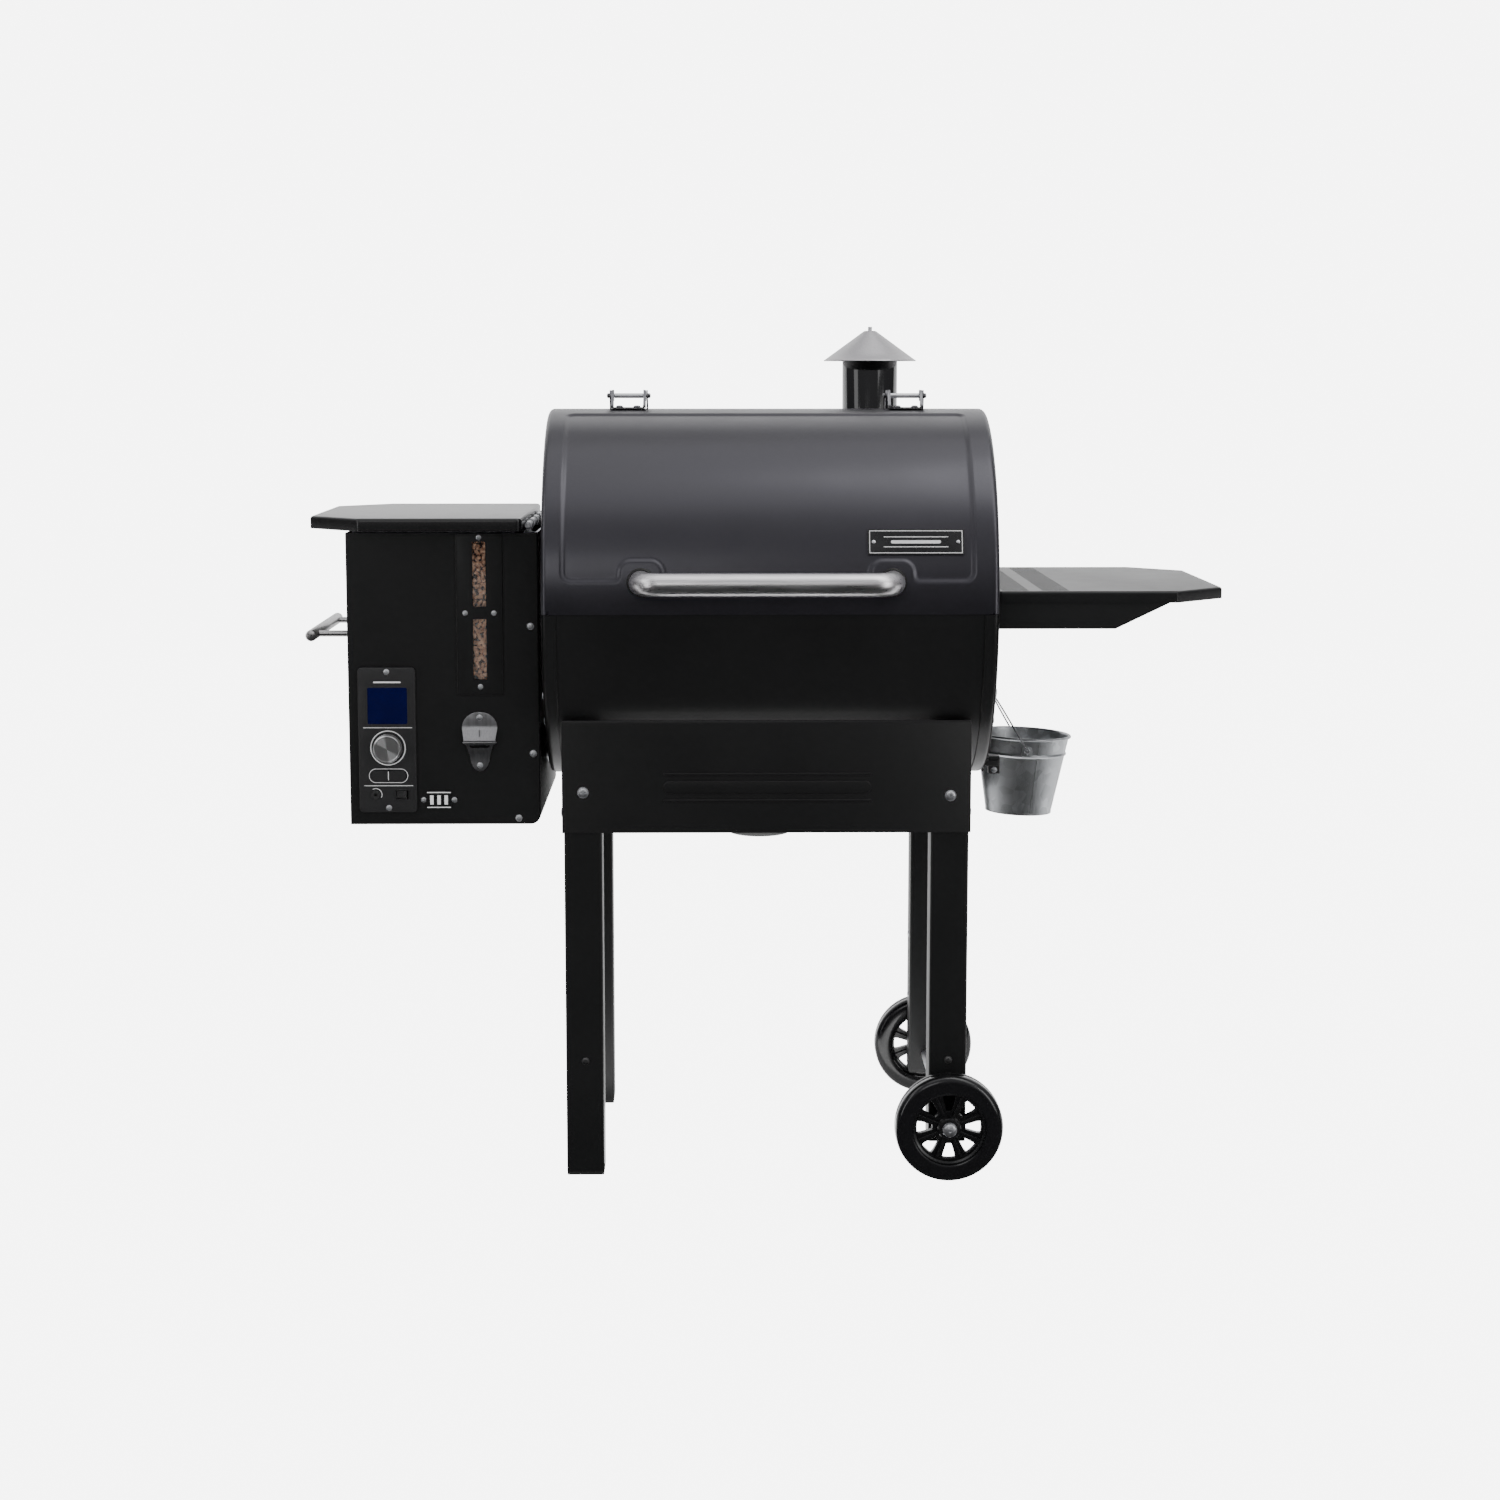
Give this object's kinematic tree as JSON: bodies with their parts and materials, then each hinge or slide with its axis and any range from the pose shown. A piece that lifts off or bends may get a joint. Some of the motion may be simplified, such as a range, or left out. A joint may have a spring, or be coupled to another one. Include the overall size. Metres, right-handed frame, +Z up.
{
  "type": "pellet smoker grill",
  "caption": "Drum-shaped pellet smoker grill on a two-wheeled cart, with a side pellet hopper, digital control panel, chimney, folding lids, side shelf and hanging grease bucket.",
  "frame": {"origin": "bottom centre of the whole grill's bounding box, on the floor", "axes": "+X from the pellet hopper to the side shelf, +Y from the front with the lid handle to the back, +Z up"},
  "size_m": [1.2842, 0.592, 1.192],
  "materials": {
    "black_coat": "black powder coat, fine texture, satin",
    "lid_coat": "smooth bronze-black metallic coat, semi-gloss",
    "stainless": "brushed, satin",
    "zinc": "galvanised or zinc plated, dull",
    "chrome_wire": "bright plated wire",
    "cast": "black, matte",
    "enamel": "gloss black",
    "wheel_plastic": "glossy black moulding",
    "panel_plastic": "matte black moulding",
    "clear": "clear pane"
  },
  "bodies": {
    "grill": {"leg_front_left": "black_coat", "leg_rear_left": "black_coat", "leg_front_right": "black_coat", "leg_rear_right": "black_coat", "apron_front": "black_coat", "apron_rear": "black_coat", "side_panel_left": "black_coat", "side_panel_right": "black_coat", "barrel_shell": "black_coat", "end_cap_left": "black_coat", "end_cap_right": "black_coat", "side_shelf": "black_coat", "shelf_bracket_front": "black_coat", "shelf_bracket_rear": "black_coat", "hopper_box": "black_coat", "window_frame": "black_coat", "side_handle": "stainless", "bottle_opener": "stainless", "badge_plate": "stainless", "drip_tray": "stainless", "axle": "zinc", "drain_spout": "zinc", "bucket_hook": "zinc", "chimney_stud": "zinc", "hinge_bracket_left": "zinc", "hinge_bracket_right": "zinc", "hopper_bin": "zinc", "hopper_hinge_leaf": "zinc", "hopper_hinge_pin": "zinc", "auger_tube": "zinc", "warming_rack": "chrome_wire", "cooking_grate": "cast", "heat_deflector": "cast", "fire_pot": "cast", "ash_chute": "cast", "auger_motor": "cast", "fan_housing": "cast", "chimney_pipe": "enamel", "control_panel": "panel_plastic", "window_pane": "clear"},
    "lid": {"lid_shell": "lid_coat", "lid_handle": "stainless", "name_plate": "enamel", "lid_hinge_arm_left": "zinc", "lid_hinge_arm_right": "zinc"},
    "hopper_cover": {"hopper_lid": "black_coat"},
    "dial_stem": {"dial_shaft": "stainless"},
    "dial": {"dial_knob": "stainless"},
    "left_button": {"button_left": "panel_plastic"},
    "right_button": {"button_right": "panel_plastic"},
    "rocker": {"power_switch": "panel_plastic"},
    "front_wheel": {"wheel_front": "wheel_plastic"},
    "rear_wheel": {"wheel_rear": "wheel_plastic"},
    "cowl": {"chimney_cap": "stainless"},
    "bail": {"bucket_bail": "zinc"},
    "bucket": {"grease_bucket": "zinc"},
    "cup": {"ash_cup": "black_coat"},
    "auger_screw": {"auger": "stainless"},
    "impeller": {"fan_impeller": "panel_plastic"}
  },
  "joints": [
    {"name": "lid_hinge", "type": "hinge", "parent": "grill", "child": "lid", "pos_m": [0.00815, 0.04, 1.0915], "axis": [-1, 0, 0], "range_deg": [0, 90]},
    {"name": "hopper_lid_hinge", "type": "hinge", "parent": "grill", "child": "hopper_cover", "pos_m": [-0.32585, 0.03, 0.915], "axis": [0, 1, 0], "range_deg": [0, 90]},
    {"name": "dial_push", "type": "slide", "parent": "grill", "child": "dial_stem", "axis": [0, 1, 0], "range_m": [0, 0.001], "stiffness_N_per_m": 1500},
    {"name": "dial_spin", "type": "hinge", "parent": "dial_stem", "child": "dial", "pos_m": [-0.52235, -0.1635, 0.6076], "axis": [0, 1, 0], "continuous": true},
    {"name": "left_button_press", "type": "slide", "parent": "grill", "child": "left_button", "axis": [0, 1, 0], "range_m": [0, 0.0008], "stiffness_N_per_m": 1000},
    {"name": "right_button_press", "type": "slide", "parent": "grill", "child": "right_button", "axis": [0, 1, 0], "range_m": [0, 0.0008], "stiffness_N_per_m": 1000},
    {"name": "power_rock", "type": "hinge", "parent": "grill", "child": "rocker", "pos_m": [-0.50335, -0.1583, 0.542], "axis": [0, 0, 1], "range_deg": [0, 16]},
    {"name": "front_wheel_roll", "type": "hinge", "parent": "grill", "child": "front_wheel", "pos_m": [0.25965, -0.2095, 0.076], "axis": [0, 1, 0], "continuous": true},
    {"name": "rear_wheel_roll", "type": "hinge", "parent": "grill", "child": "rear_wheel", "pos_m": [0.25965, 0.2695, 0.076], "axis": [0, 1, 0], "continuous": true},
    {"name": "cowl_height", "type": "slide", "parent": "grill", "child": "cowl", "axis": [0, 0, 1], "range_m": [-0.012, 0.004]},
    {"name": "bail_swing", "type": "hinge", "parent": "grill", "child": "bail", "pos_m": [0.35115, 0.15, 0.645], "axis": [0, -1, 0], "range_deg": [0, 20]},
    {"name": "bucket_swing", "type": "hinge", "parent": "bail", "child": "bucket", "pos_m": [0.39615, 0.15, 0.567], "axis": [0, -1, 0], "range_deg": [-2, 12]},
    {"name": "ash_cup_twist", "type": "hinge", "parent": "grill", "child": "cup", "pos_m": [-0.00285, 0.03, 0.45], "axis": [0, 0, 1], "range_deg": [0, 30]},
    {"name": "auger_turn", "type": "hinge", "parent": "grill", "child": "auger_screw", "pos_m": [-0.53135, 0.03, 0.585], "axis": [1, 0, 0], "continuous": true},
    {"name": "fan_turn", "type": "hinge", "parent": "grill", "child": "impeller", "pos_m": [-0.46685, 0.14, 0.548], "axis": [0, 1, 0], "continuous": true}
  ]
}
